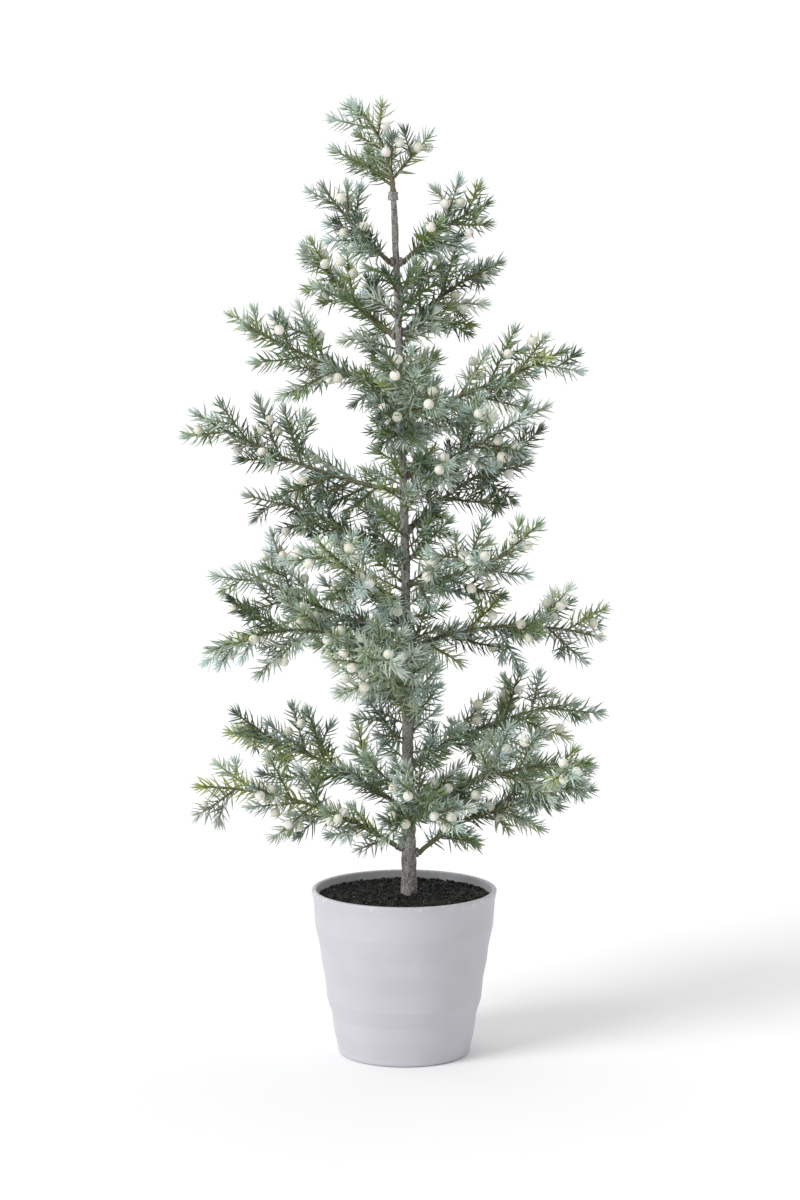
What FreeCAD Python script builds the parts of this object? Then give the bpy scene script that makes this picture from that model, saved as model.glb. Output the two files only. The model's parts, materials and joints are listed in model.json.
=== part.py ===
"""Artificial tabletop tree: a potted, poseable juniper with wire branches and frosted berries.

Millimetres and degrees, +Z up. The origin is the centre of the pot's underside, on the surface that it
stands on. -Y is the front, and an azimuth is measured from +X towards +Y.
"""

import FreeCAD, Part
import math
import os

import Sketcher

Vector = FreeCAD.Vector

# ------------------------------------------------------------------------------ driving dimensions

SIZES = {
    # pot: a tapered shell whose outside steps in through four sloped rings
    "pot_height": 107.0,
    "pot_rim_radius": 59.8,
    "pot_neck_radius": 58.4,
    "pot_lip_height": 7.0,
    "pot_wall": 3.2,
    "pot_floor": 4.0,
    "pot_edge_round": 1.2,
    "pot_step_round": 1.4,
    "pot_foot_round": 2.5,
    "band_1_low": 83.8,
    "band_1_radius": 57.3,
    "band_2_high": 70.6,
    "band_2_low": 60.1,
    "band_2_radius": 53.8,
    "band_3_high": 49.5,
    "band_3_low": 36.4,
    "band_3_radius": 50.4,
    "band_4_high": 25.9,
    "band_4_low": 15.3,
    "band_4_radius": 46.0,
    "band_5_high": 4.8,
    "band_taper": 0.6,
    "foot_radius": 42.4,
    # filling: cement weight, dry-foam plug and the glued layer of soil
    "ballast_height": 24.0,
    "foam_top": 98.0,
    "soil_edge_top": 102.4,
    "soil_crown": 1.6,
    "filling_gap": 0.1,
    # trunk: a steel rod in a moulded bark sleeve, leaning a little to the left
    "rod_radius": 1.1,
    "rod_low": 10.0,
    "rod_high": 540.0,
    "bark_low": 98.1,
    "bark_high": 549.0,
    # branches: a ball at the root, a wrapped wire stem and side twigs
    "knuckle_radius": 2.0,
    "knuckle_gap": 0.4,
    "stem_root_radius": 1.6,
    "stem_tip_radius": 0.7,
    "twig_root_share": 0.72,
    "twig_tip_radius": 0.45,
    "collar_root_radius": 3.3,
    "collar_mouth_radius": 2.9,
    "collar_setback": 0.7,
    "collar_bite": 0.7,
    "leader_collar_depth": 6.0,
    "first_twig_station": 0.13,
    "last_twig_station": 0.90,
    "twig_split": 44.0,
    "twig_split_swing": 6.0,
    "twig_lift_swing": 48.0,
    "twig_turn": 137.5,
    "twig_turn_per_azimuth": 2.865,
    "twig_shortening": 0.30,
    # berries: balls on short stalks, in small clusters
    "berry_radius": 3.1,
    "berry_stalk_radius": 0.35,
    "berry_stalk": 1.2,
    "berry_stalk_gap": 0.02,
    "berry_spacing": 4.4,
    "berry_turn": 137.5,
    "berry_cluster_most": 3,
    "berry_station": 0.88,
    "berry_station_step": 0.11,
    # sprigs: short straight twigs that grow from the bark between the branches, in an even spiral
    "sprig_count": 23,
    "sprig_lowest": 151.6,
    "sprig_highest": 485.0,
    "sprig_azimuth": 23.0,
    "sprig_turn": 160.0,
    "sprig_rise": 40.0,
    "sprig_length_low": 42.0,
    "sprig_length_high": 26.0,
    "sprig_root_radius": 0.7,
    "sprig_root_share": 1.02,
}

# Trunk centreline and thickness: height, sideways offset, outside radius of the bark.
TRUNK_STATIONS = (
    (10.0, 3.2, 5.6),
    (98.1, 3.2, 5.6),
    (125.0, 3.0, 4.9),
    (172.0, 2.5, 3.8),
    (260.0, 1.7, 3.2),
    (350.0, 0.0, 2.7),
    (435.0, -2.7, 2.4),
    (500.0, -4.7, 2.2),
    (549.0, -6.9, 2.0),
)

# Each branch: height of its root, azimuth, rise at the root, rise at the tip, length of the stem,
# number of side twigs, length of the longest side twig, side that the first twig takes, clusters of
# berries, and its forks: after which side twig each leaves, its angle up (+) or down (-), its length.
BRANCHES = {
    "branch_01": (507, 186, 43, 53, 60, 4, 26, 1, 3, ((1, -48, 22), (2, 50, 22))),
    "branch_02": (507, 4, 44, 26, 62, 4, 28, -1, 3, ((2, 36, 30), (1, -50, 24))),
    "branch_03": (461, 146, 34, 44, 86, 5, 32, -1, 4, ((2, 42, 28), (3, -45, 24))),
    "branch_04": (463, 40, 40, 20, 82, 5, 34, 1, 4, ((2, 34, 38), (1, -58, 36))),
    "branch_05": (427, 196, 19, 27, 101, 6, 40, 1, 6, ((3, 46, 34), (2, -50, 38))),
    "branch_06": (411, 355, 19, 26, 104, 6, 38, -1, 5, ((3, 42, 36), (2, -38, 38))),
    "branch_07": (400, 276, 22, 34, 82, 6, 36, 1, 5, ((3, 48, 34),)),
    "branch_08": (392, 90, 22, 32, 98, 6, 38, -1, 4, ((2, 45, 34), (3, -45, 34))),
    "branch_09": (373, 322, 19, 29, 94, 6, 38, -1, 5, ((4, -36, 30), (3, 46, 30))),
    "branch_10": (363, 180, 11, 31, 134, 7, 40, -1, 6, ((4, 46, 36), (3, 52, 34))),
    "branch_11": (338, 45, 35, 8, 112, 6, 42, 1, 5, ((4, -50, 36), (2, 44, 32))),
    "branch_12": (325, 138, 11, 18, 110, 6, 42, -1, 4, ((4, -34, 32), (3, 45, 32))),
    "branch_13": (304, 309, 9, 24, 106, 6, 40, -1, 5, ((3, 46, 34),)),
    "branch_14": (294, 238, 17, 33, 104, 6, 40, 1, 5, ((3, -44, 34),)),
    "branch_15": (270, 161, 15, 25, 114, 7, 42, 1, 5, ((5, 50, 38), (3, -42, 34))),
    "branch_16": (264, 357, 22, -15, 116, 7, 40, 1, 6, ((5, 54, 30), (3, -66, 28))),
    "branch_17": (252, 201, 38, -24, 130, 7, 40, -1, 7, ((5, 40, 34), (4, -52, 34))),
    "branch_18": (236, 254, 18, 26, 100, 6, 42, -1, 5, ((3, 48, 36),)),
    "branch_19": (222, 96, 20, 12, 122, 7, 44, 1, 4, ((3, 48, 38), (4, -44, 34))),
    "branch_20": (188, 32, 25, 1, 126, 7, 44, -1, 6, ((4, 56, 32), (3, -46, 32))),
    "branch_21": (160, 155, 31, 5, 128, 7, 44, -1, 6, ((4, 56, 30), (3, 50, 32))),
    "branch_22": (160, 334, 31, 5, 122, 7, 42, -1, 6, ((3, 48, 34), (4, -44, 30))),
    "branch_23": (148, 278, 26, 14, 92, 6, 42, 1, 6, ((2, 48, 38),)),
    "branch_24": (134, 190, 35, 3, 134, 7, 42, 1, 6, ((3, -58, 30), (4, 46, 30))),
    "branch_25": (130, 16, 38, -4, 122, 7, 42, 1, 6, ((3, -44, 34), (4, 46, 30))),
}

# The bendable tip of the trunk, in the same terms, rooted on the trunk's end.
LEADER = (180, 88, 44, 58, 4, 24, 1, 5, ((0, 48, 34), (0, -58, 38), (3, -46, 24)))

COLUMNS = ("height", "azimuth", "root_rise", "tip_rise", "length", "twigs", "twig_length",
           "first_side", "clusters")
FORK_COLUMNS = ("after", "angle", "length")
# ------------------------------------------------------------------------------ end of the tables

# ------------------------------------------------------------------------------ the sheet

doc = FreeCAD.newDocument("tabletop_tree")
sheet = doc.addObject("Spreadsheet::Sheet", "Dimensions")
filled_rows = 0


def put(alias, value):
    """Adds one named dimension to the sheet."""
    global filled_rows
    filled_rows += 1
    sheet.set(f"A{filled_rows}", alias)
    sheet.set(f"B{filled_rows}", str(value))
    sheet.setAlias(f"B{filled_rows}", alias)


def put_limb(name, values):
    """Adds a limb's row of numbers, and its forks, to the sheet."""
    for column, value in zip(COLUMNS, values):
        put(f"{name}_{column}", value)
    forks = values[len(COLUMNS)]
    put(f"{name}_forks", len(forks))
    for number, fork in enumerate(forks, 1):
        for column, value in zip(FORK_COLUMNS, fork):
            put(f"{name}_fork_{number}_{column}", value)


for alias, value in SIZES.items():
    put(alias, value)
for number, station in enumerate(TRUNK_STATIONS, 1):
    for column, value in zip(("height", "offset", "radius"), station):
        put(f"trunk_{number}_{column}", value)
for name, values in BRANCHES.items():
    put_limb(name, values)
leader_root = SIZES["bark_high"] + SIZES["knuckle_gap"] + SIZES["knuckle_radius"]
put_limb("leader", (leader_root,) + LEADER)
doc.recompute()

LIMBS = list(BRANCHES) + ["leader"]


def size(alias):
    """A dimension from the sheet."""
    return float(sheet.get(alias))


# ------------------------------------------------------------------------------ where things lie

UP = Vector(0, 0, 1)
SLACK = 0.01


def trunk_at(height):
    """The trunk's centre and outside radius at a height, between its stations."""
    below = 1
    while below < len(TRUNK_STATIONS) - 1 and size(f"trunk_{below + 1}_height") < height:
        below += 1
    low = size(f"trunk_{below}_height")
    share = (height - low) / (size(f"trunk_{below + 1}_height") - low)
    offset, radius = (
        size(f"trunk_{below}_{column}") * (1 - share) + size(f"trunk_{below + 1}_{column}") * share
        for column in ("offset", "radius")
    )
    return Vector(offset, 0, height), radius


class Limb:
    """A branch or the leader: its stem's arc, in the upright plane through its azimuth, and its twigs."""

    def __init__(self, name):
        self.name = name
        for column in COLUMNS:
            setattr(self, column, size(f"{name}_{column}"))
        angle = math.radians(self.azimuth)
        self.outward = Vector(math.cos(angle), math.sin(angle), 0)
        self.sideways = UP.cross(self.outward)
        centre, radius = trunk_at(self.height)
        if name == "leader":
            self.root = centre
        else:
            reach = radius + size("knuckle_gap") + size("knuckle_radius")
            self.root = centre + self.outward * reach
        self.start = math.radians(self.root_rise)
        self.curl = math.radians(self.tip_rise - self.root_rise)
        self.bend = self.length / self.curl

    def direction(self, station):
        """The stem's direction at a station, from 0 at its root to 1 at its tip."""
        rise = self.start + self.curl * station
        return self.outward * math.cos(rise) + UP * math.sin(rise)

    def point(self, station):
        rise = self.start + self.curl * station
        along = self.bend * (math.sin(rise) - math.sin(self.start))
        above = -self.bend * (math.cos(rise) - math.cos(self.start))
        return self.root + self.outward * along + UP * above

    def stem_radius(self, station):
        start = size("stem_root_radius")
        return start + (size("stem_tip_radius") - start) * station

    def twig(self, station, split, lift, length):
        """A twig that leaves the stem by the angle split, towards its left, turned up by lift."""
        forward = self.direction(station)
        above = forward.cross(self.sideways)
        lift, split = math.radians(lift), math.radians(split)
        across = self.sideways * math.cos(lift) + above * math.sin(lift)
        way = forward * math.cos(split) + across * math.sin(split)
        return station, way, length

    def all_twigs(self):
        """Side twigs to the left and right by turns, shorter towards the tip, and then the forks."""
        found = []
        count = int(self.twigs)
        first = size("first_twig_station")
        spread = size("last_twig_station") - first
        stations = [first + spread * (i + 0.5) / count for i in range(count)]
        for i, station in enumerate(stations):
            swing = math.radians(
                size("twig_turn") * i + size("twig_turn_per_azimuth") * self.azimuth
            )
            split = size("twig_split") + size("twig_split_swing") * math.cos(swing)
            lift = size("twig_lift_swing") * math.sin(swing)
            goes_left = self.first_side * (-1) ** i > 0
            length = self.twig_length * (1 - size("twig_shortening") * station)
            found.append(self.twig(station, split, lift if goes_left else 180 - lift, length))
        stations.insert(0, 0)
        for number in range(1, int(size(f"{self.name}_forks")) + 1):
            after, angle, length = (
                size(f"{self.name}_fork_{number}_{column}") for column in FORK_COLUMNS
            )
            station = (stations[int(after)] + stations[int(after) + 1]) / 2
            found.append(self.twig(station, abs(angle), math.copysign(90, angle), length))
        return found

    def berries(self, twigs):
        """Each berry's centre, the point on a twig's axis that it grows from, and the twig's radius there."""
        found = []
        most = int(size("berry_cluster_most"))
        for cluster in range(int(self.clusters)):
            station, way, length = twigs[cluster * len(twigs) // int(self.clusters)]
            start = self.point(station)
            thick = size("twig_root_share") * self.stem_radius(station)
            beside = way.cross(UP).normalize()
            above = beside.cross(way)
            share = size("berry_station") - size("berry_station_step") * (cluster % most)
            for member in range(1 + (cluster + int(self.height)) % most):
                turn = math.radians(size("berry_turn") * (member + cluster) + self.azimuth)
                out = length * share - member * size("berry_spacing")
                foot = start + way * out
                bark_radius = thick + (size("twig_tip_radius") - thick) * out / length
                stand_off = bark_radius + size("berry_stalk") + size("berry_radius")
                centre = foot + (beside * math.cos(turn) + above * math.sin(turn)) * stand_off
                found.append((centre, foot, bark_radius))
        return found


def trunk_sprigs():
    """Each trunk sprig's start inside the bark, its direction and its length, from the lowest up."""
    found = []
    count = int(size("sprig_count"))
    rise = math.radians(size("sprig_rise"))
    for number in range(count):
        share = number / (count - 1)
        height = size("sprig_lowest") * (1 - share) + size("sprig_highest") * share
        length = size("sprig_length_low") * (1 - share) + size("sprig_length_high") * share
        azimuth = math.radians(size("sprig_azimuth") + size("sprig_turn") * number)
        outward = Vector(math.cos(azimuth), math.sin(azimuth), 0)
        way = outward * math.cos(rise) + UP * math.sin(rise)
        centre, radius = trunk_at(height)
        found.append((centre + way * radius * size("sprig_root_share"), way, length))
    return found


# ------------------------------------------------------------------------------ end of the layout
# ------------------------------------------------------------------------------ building blocks

SUB_PARTS = []


def add(kind, name, **expressions):
    """Adds one object, with its properties bound to the sheet."""
    made = doc.addObject(kind, name)
    for prop, expression in expressions.items():
        made.setExpression(prop, expression)
    return made


def cell(alias):
    """How an expression names a dimension."""
    return f"Dimensions.{alias}"


def value_of(expression):
    return float(sheet.evalExpression(expression))


def sub_part(made, label):
    made.Label = label
    SUB_PARTS.append(made)
    return made


def facing(point, way):
    """The placement that puts an object's origin at a point and its Z axis along a direction."""
    return FreeCAD.Placement(point, FreeCAD.Rotation(UP, way))


def plane(body, role):
    return next(feature for feature in body.Origin.OriginFeatures if feature.Role == role)


def sketch_on(body, role, name):
    made = body.newObject("Sketcher::SketchObject", name)
    made.AttachmentSupport = [(plane(body, role), "")]
    made.MapMode = "FlatFace"
    return made


def bound(sketch, kind, *where, expression):
    """Adds a distance or radius constraint to a sketch, bound to an expression."""
    value = value_of(expression)
    at = sketch.addConstraint(Sketcher.Constraint(kind, *where, value))
    sketch.setExpression(f"Constraints[{at}]", expression)


def outline(sketch, points):
    """Draws a closed outline through corners, each given by two expressions, or 0 for on the axis."""
    corners = [Vector(value_of(x) if x else 0, value_of(y) if y else 0, 0) for x, y in points]
    count = len(corners)
    for i in range(count):
        sketch.addGeometry(Part.LineSegment(corners[i], corners[(i + 1) % count]), False)
    for i in range(count):
        sketch.addConstraint(Sketcher.Constraint("Coincident", i, 2, (i + 1) % count, 1))
    for i, pair in enumerate(points):
        for kind, axis, expression in zip(("DistanceX", "DistanceY"), (-2, -1), pair):
            if expression:
                bound(sketch, kind, -1, 1, i, 1, expression=expression)
            else:
                sketch.addConstraint(Sketcher.Constraint("PointOnObject", i, 1, axis))


def turned_body(name, points):
    """A body made by turning an outline, in radius and height, about the Z axis."""
    body = doc.addObject("PartDesign::Body", name)
    sketch = sketch_on(body, "XZ_Plane", f"{name}_outline")
    outline(sketch, points)
    turned = body.newObject("PartDesign::Revolution", f"{name}_turned")
    turned.Profile = sketch
    turned.ReferenceAxis = (sketch, ["V_Axis"])
    turned.Angle = 360
    sketch.Visibility = False
    doc.recompute()
    return sub_part(body, name)


def ring_sketch(body, name, offset, radius, height="0"):
    """A level circle at an offset from the Z axis, at a height."""
    sketch = sketch_on(body, "XY_Plane", name)
    sketch.setExpression("AttachmentOffset.Base.z", height)
    centre = Vector(value_of(offset), 0, 0)
    sketch.addGeometry(Part.Circle(centre, UP, value_of(radius)), False)
    bound(sketch, "DistanceX", -1, 1, 0, 3, expression=offset)
    sketch.addConstraint(Sketcher.Constraint("PointOnObject", 0, 3, -1))
    bound(sketch, "Radius", 0, expression=radius)
    return sketch


def trunk_hole(body, radius):
    """Cuts the hole that the trunk stands in right through a body, and checks that it cut."""
    before = body.Shape.Volume
    sketch = ring_sketch(body, f"{body.Name}_hole_outline", cell("trunk_2_offset"), radius)
    hole = body.newObject("PartDesign::Pocket", f"{body.Name}_hole")
    hole.Profile = sketch
    hole.Type = "ThroughAll"
    hole.Reversed = True
    doc.recompute()
    if body.Shape.Volume >= before:
        raise RuntimeError(f"{body.Name}: the hole for the trunk cut nothing")


def between(low, high, height, column):
    """An expression for the trunk's offset or radius at a height between two of its stations."""
    start, end = cell(f"trunk_{low}_{column}"), cell(f"trunk_{high}_{column}")
    foot, top = cell(f"trunk_{low}_height"), cell(f"trunk_{high}_height")
    return f"{start} + ({end} - {start}) * ({height} - {foot}) / ({top} - {foot})"


def trunk_loft(body, kind, name, stations, radius=None, top=None):
    """A loft through the trunk's stations, and to a top between the last two, if one is given."""
    sketches = []
    for number in stations:
        height, offset = cell(f"trunk_{number}_height"), cell(f"trunk_{number}_offset")
        ring = radius or cell(f"trunk_{number}_radius")
        sketches.append(ring_sketch(body, f"{name}_{number}", offset, ring, height))
    if top:
        last = len(TRUNK_STATIONS)
        offset = between(last - 1, last, top, "offset")
        sketches.append(ring_sketch(body, f"{name}_top", offset, radius, top))
    loft = body.newObject(kind, name)
    loft.Profile = sketches[0]
    loft.Sections = sketches[1:]
    loft.Ruled = True
    doc.recompute()
    return loft


# ------------------------------------------------------------------------------ pot and filling


def wall_inside(height, gap=0):
    """An expression for the radius of the pot's cavity at a height, less a gap."""
    low = f"({cell('foot_radius')} - {cell('pot_wall')})"
    high = f"({cell('pot_rim_radius')} - {cell('pot_wall')})"
    share = f"({height} - {cell('pot_floor')}) / ({cell('pot_height')} - {cell('pot_floor')})"
    return f"{low} + ({high} - {low}) * {share} - {gap}"


def level_edges(feature, lowest, highest, narrowest):
    """The names of a feature's level round edges between two heights, at least so wide."""
    return [
        f"Edge{number}"
        for number, edge in enumerate(feature.Shape.Edges, 1)
        if isinstance(edge.Curve, Part.Circle)
        and lowest - SLACK < edge.Curve.Center.z < highest + SLACK
        and edge.Curve.Radius > narrowest - SLACK
    ]


def make_pot():
    """The pot: a floor and a tapered wall whose outside steps in through four sloped rings."""
    taper = cell("band_taper")
    points = [(0, 0), (cell("foot_radius"), 0)]
    points.append((f"{cell('foot_radius')} + {taper}", cell("band_5_high")))
    for band in (4, 3, 2):
        radius = cell(f"band_{band}_radius")
        points.append((f"{radius} - {taper}", cell(f"band_{band}_low")))
        points.append((f"{radius} + {taper}", cell(f"band_{band}_high")))
    points.append((cell("band_1_radius"), cell("band_1_low")))
    points.append((cell("pot_neck_radius"), f"{cell('pot_height')} - {cell('pot_lip_height')}"))
    points.append((cell("pot_rim_radius"), cell("pot_height")))
    points.append((f"{cell('pot_rim_radius')} - {cell('pot_wall')}", cell("pot_height")))
    points.append((wall_inside(cell("pot_floor")), cell("pot_floor")))
    points.append((0, cell("pot_floor")))
    body = turned_body("pot", points)
    for name, lowest, highest, radius in (
        ("steps", size("band_5_high"), size("band_1_low"), "pot_step_round"),
        ("rim", size("pot_height"), size("pot_height"), "pot_edge_round"),
        ("foot", 0, 0, "pot_foot_round"),
    ):
        base = body.Tip
        rounded = body.newObject("PartDesign::Fillet", f"pot_{name}_rounded")
        rounded.Base = (base, level_edges(base, lowest, highest, size("foot_radius")))
        rounded.setExpression("Radius", cell(radius))
        doc.recompute()


def make_filling():
    """The cement weight, the dry-foam plug on it and the soil glued over that, each round the trunk."""
    gap = cell("filling_gap")
    weight_low = f"{cell('pot_floor')} + {gap}"
    weight_high = f"{cell('pot_floor')} + {cell('ballast_height')}"
    foam_low = f"{weight_high} + {gap}"
    soil_low = f"{cell('foam_top')} + {gap}"
    rod_hole = f"{cell('rod_radius')} + {gap}"
    layers = (
        ("ballast_weight", weight_low, weight_high, weight_high, rod_hole),
        ("foam_plug", foam_low, cell("foam_top"), cell("foam_top"), rod_hole),
        ("soil_layer", soil_low, cell("soil_edge_top"),
         f"{cell('soil_edge_top')} + {cell('soil_crown')}", f"{cell('trunk_2_radius')} + {gap}"),
    )
    for name, low, edge_high, middle_high, hole in layers:
        points = [
            (0, low),
            (wall_inside(low, gap), low),
            (wall_inside(edge_high, gap), edge_high),
            (0, middle_high),
        ]
        trunk_hole(turned_body(name, points), hole)


# ------------------------------------------------------------------------------ trunk


def make_trunk():
    """The steel rod, and the moulded bark sleeve round it, whose bore stops just above the rod."""
    stations = range(1, len(TRUNK_STATIONS) + 1)
    rod = doc.addObject("PartDesign::Body", "trunk_rod")
    trunk_loft(rod, "PartDesign::AdditiveLoft", "rod_loft", stations[:-1], cell("rod_radius"),
               cell("rod_high"))
    sub_part(rod, "trunk_rod")

    bark = doc.addObject("PartDesign::Body", "trunk_bark")
    trunk_loft(bark, "PartDesign::AdditiveLoft", "bark_loft", stations[1:])
    solid = bark.Shape.Volume
    trunk_loft(bark, "PartDesign::SubtractiveLoft", "bark_bore", stations[1:-1],
               f"{cell('rod_radius')} + {cell('filling_gap')}",
               f"{cell('rod_high')} + {cell('filling_gap')}")
    if bark.Shape.Volume >= solid:
        raise RuntimeError("the bark's bore cut nothing")
    return sub_part(bark, "trunk_bark")


def make_collars(bark, limbs):
    """The knots of bark that each branch's ball sits in, one for each limb, as one group."""
    collars = []
    ball = f"{cell('knuckle_radius')} + {cell('knuckle_gap')}"
    for limb in limbs:
        centre, radius = trunk_at(limb.height)
        if limb.name == "leader":
            way, back = UP, size("leader_collar_depth")
        else:
            way = limb.outward
            back = (limb.root - centre).Length - radius * size("collar_bite")
        knot = add("Part::Cone", f"{limb.name}_knot", Radius1=cell("collar_root_radius"),
                   Radius2=cell("collar_mouth_radius"))
        knot.Height = back - size("collar_setback")
        knot.Placement = facing(limb.root - way * back, way)
        seat = add("Part::Sphere", f"{limb.name}_seat", Radius=ball)
        seat.Placement.Base = limb.root
        hollowed = doc.addObject("Part::Cut", f"{limb.name}_hollowed")
        hollowed.Base, hollowed.Tool = knot, seat
        collar = doc.addObject("Part::Cut", f"{limb.name}_collar")
        collar.Base, collar.Tool = hollowed, bark
        collar.Refine = False
        collars.append(collar)
    group = doc.addObject("Part::Compound", "branch_collars")
    group.Links = collars
    sub_part(group, "branch_collars")


def make_sprigs(bark):
    """The sprigs on the trunk, each cut to fit the bark that it grows from, as one group."""
    sprigs = []
    for number, (start, way, length) in enumerate(trunk_sprigs(), 1):
        cone = add("Part::Cone", f"sprig_cone_{number}", Radius1=cell("sprig_root_radius"),
                   Radius2=cell("twig_tip_radius"))
        cone.Height = length
        cone.Placement = facing(start, way)
        sprig = doc.addObject("Part::Cut", f"sprig_{number}")
        sprig.Base, sprig.Tool = cone, bark
        sprig.Refine = False
        sprigs.append(sprig)
    group = doc.addObject("Part::Compound", "trunk_sprigs")
    group.Links = sprigs
    sub_part(group, "trunk_sprigs")


# ------------------------------------------------------------------------------ limbs and berries


def make_stem(limb):
    """The wrapped wire: a tapered sweep along the limb's arc, with a ball round its root."""
    name = limb.name
    turn = f"({cell(name + '_tip_rise')} - {cell(name + '_root_rise')})"
    rises = [cell(f"{name}_root_rise"), cell(f"{name}_tip_rise")]
    quarter = "-90" if limb.curl > 0 else "+ 90"
    if limb.curl < 0:
        rises.reverse()
    arc = add("Part::Circle", f"{name}_arc",
              Radius=f"abs({cell(name + '_length')} / ({turn} * pi / 180))",
              Angle1=f"{rises[0]} {quarter}", Angle2=f"{rises[1]} {quarter}")
    toward_centre = UP * math.cos(limb.start) - limb.outward * math.sin(limb.start)
    arc.Placement = FreeCAD.Placement(
        limb.root + toward_centre * limb.bend,
        FreeCAD.Rotation(limb.outward, UP, limb.outward.cross(UP), "XYZ"),
    )
    root = add("Part::Circle", f"{name}_root", Radius=cell("stem_root_radius"))
    root.Placement = facing(limb.point(0), limb.direction(0))
    tip = add("Part::Circle", f"{name}_tip", Radius=cell("stem_tip_radius"))
    tip.Placement = facing(limb.point(1), limb.direction(1))
    doc.recompute()
    wire = doc.addObject("Part::Sweep", f"{name}_wire")
    wire.Sections = [root, tip] if limb.curl > 0 else [tip, root]
    wire.Spine = (arc, ["Edge1"])
    wire.Solid = True
    ball = add("Part::Sphere", f"{name}_ball", Radius=cell("knuckle_radius"))
    ball.Placement = facing(limb.root, limb.direction(0))
    stem = doc.addObject("Part::Fuse", f"{name}_stem")
    stem.Base, stem.Tool = wire, ball
    return stem


def make_limb(limb):
    """A limb: its stem, and its twigs, each cut to fit the stem that it leaves."""
    stem = make_stem(limb)
    pieces = [stem]
    stem_root, stem_tip = cell("stem_root_radius"), cell("stem_tip_radius")
    for number, (station, way, length) in enumerate(limb.all_twigs(), 1):
        thick = f"{cell('twig_root_share')} * ({stem_root} + ({stem_tip} - {stem_root}) * {station})"
        cone = add("Part::Cone", f"{limb.name}_cone_{number}", Radius1=thick,
                   Radius2=cell("twig_tip_radius"))
        cone.Height = length
        cone.Placement = facing(limb.point(station), way)
        twig = doc.addObject("Part::Cut", f"{limb.name}_twig_{number}")
        twig.Base, twig.Tool = cone, stem
        pieces.append(twig)
    group = doc.addObject("Part::Compound", f"{limb.name}_wood")
    group.Links = pieces
    sub_part(group, limb.name)


def make_berries(limb):
    """A limb's berries: balls on thin stalks that stop at the twig's bark."""
    made = []
    for number, (centre, foot, bark_radius) in enumerate(limb.berries(limb.all_twigs()), 1):
        way = (centre - foot).normalize()
        ball = add("Part::Sphere", f"{limb.name}_ball_{number}", Radius=cell("berry_radius"))
        ball.Placement = facing(centre, way)
        stalk = add("Part::Cylinder", f"{limb.name}_stalk_{number}",
                    Radius=cell("berry_stalk_radius"))
        clear = bark_radius + size("berry_stalk_gap")
        stalk.Height = (centre - foot).Length - clear
        stalk.Placement = facing(foot + way * clear, way)
        berry = doc.addObject("Part::Fuse", f"{limb.name}_berry_{number}")
        berry.Base, berry.Tool = ball, stalk
        made.append(berry)
    group = doc.addObject("Part::Compound", f"{limb.name}_fruit")
    group.Links = made
    named = "leader_berries" if limb.name == "leader" else limb.name.replace("branch", "berries")
    sub_part(group, named)


# ------------------------------------------------------------------------------ the whole tree

make_pot()
make_filling()
trunk_bark = make_trunk()
tree_limbs = [Limb(name) for name in LIMBS]
make_collars(trunk_bark, tree_limbs)
make_sprigs(trunk_bark)
for tree_limb in tree_limbs:
    make_limb(tree_limb)
    make_berries(tree_limb)
doc.recompute()

failed = [made.Name for made in doc.Objects if {"Invalid", "Error"} & set(made.State)]
for made in SUB_PARTS:
    if made.Shape.isNull() or not made.Shape.isValid():
        failed.append(made.Label)
if failed:
    raise RuntimeError(f"these objects failed: {failed}")

os.makedirs("parts", exist_ok=True)
for made in SUB_PARTS:
    made.Shape.exportStep(os.path.join("parts", f"{made.Label}.step"))
print(len(SUB_PARTS), "sub-parts written")
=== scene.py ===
"""The looks of the artificial tabletop tree: needles, wood, berries, bark, soil and pot.

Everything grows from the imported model. Each limb's stem and twigs are read from its CAD node, and so are
the trunk's sprigs. The needles, the wrapped wood and the berries are built round them. Only the smallest
side sprigs and the tufts on the trunk have no CAD node. Metres, +Z up, and -Y is the front.
"""

import json
import math

import bpy
import numpy as np
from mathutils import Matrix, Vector, noise


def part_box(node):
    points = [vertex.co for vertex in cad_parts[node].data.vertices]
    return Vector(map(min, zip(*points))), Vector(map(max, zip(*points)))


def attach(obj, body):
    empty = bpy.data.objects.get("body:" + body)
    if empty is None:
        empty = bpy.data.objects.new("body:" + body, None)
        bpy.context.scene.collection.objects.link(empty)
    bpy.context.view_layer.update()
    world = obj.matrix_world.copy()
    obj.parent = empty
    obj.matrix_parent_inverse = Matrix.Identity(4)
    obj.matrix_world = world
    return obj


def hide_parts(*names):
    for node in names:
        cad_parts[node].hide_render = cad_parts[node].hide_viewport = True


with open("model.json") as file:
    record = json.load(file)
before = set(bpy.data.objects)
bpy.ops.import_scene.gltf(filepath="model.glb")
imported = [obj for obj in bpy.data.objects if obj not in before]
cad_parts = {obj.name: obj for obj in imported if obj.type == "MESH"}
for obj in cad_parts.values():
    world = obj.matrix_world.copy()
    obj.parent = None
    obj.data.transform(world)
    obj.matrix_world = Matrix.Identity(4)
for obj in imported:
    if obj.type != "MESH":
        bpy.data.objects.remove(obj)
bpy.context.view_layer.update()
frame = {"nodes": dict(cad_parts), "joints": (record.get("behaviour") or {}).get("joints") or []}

MM = 0.001
UP = np.array([0.0, 0.0, 1.0])
rng = np.random.default_rng(41)

# ------------------------------------------------------------------------------ driving sizes

# wood, as wide as the CAD's wires
KNUCKLE_RADIUS = 2.0 * MM
STEM_ROOT_RADIUS = 1.6 * MM
STEM_TIP_RADIUS = 0.7 * MM
TWIG_ROOT_SHARE = 0.72
TWIG_TIP_RADIUS = 0.45 * MM
TWIG_BOW = 2.2 * MM
SPRIG_ROOT_RADIUS = 0.97 * MM

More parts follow.
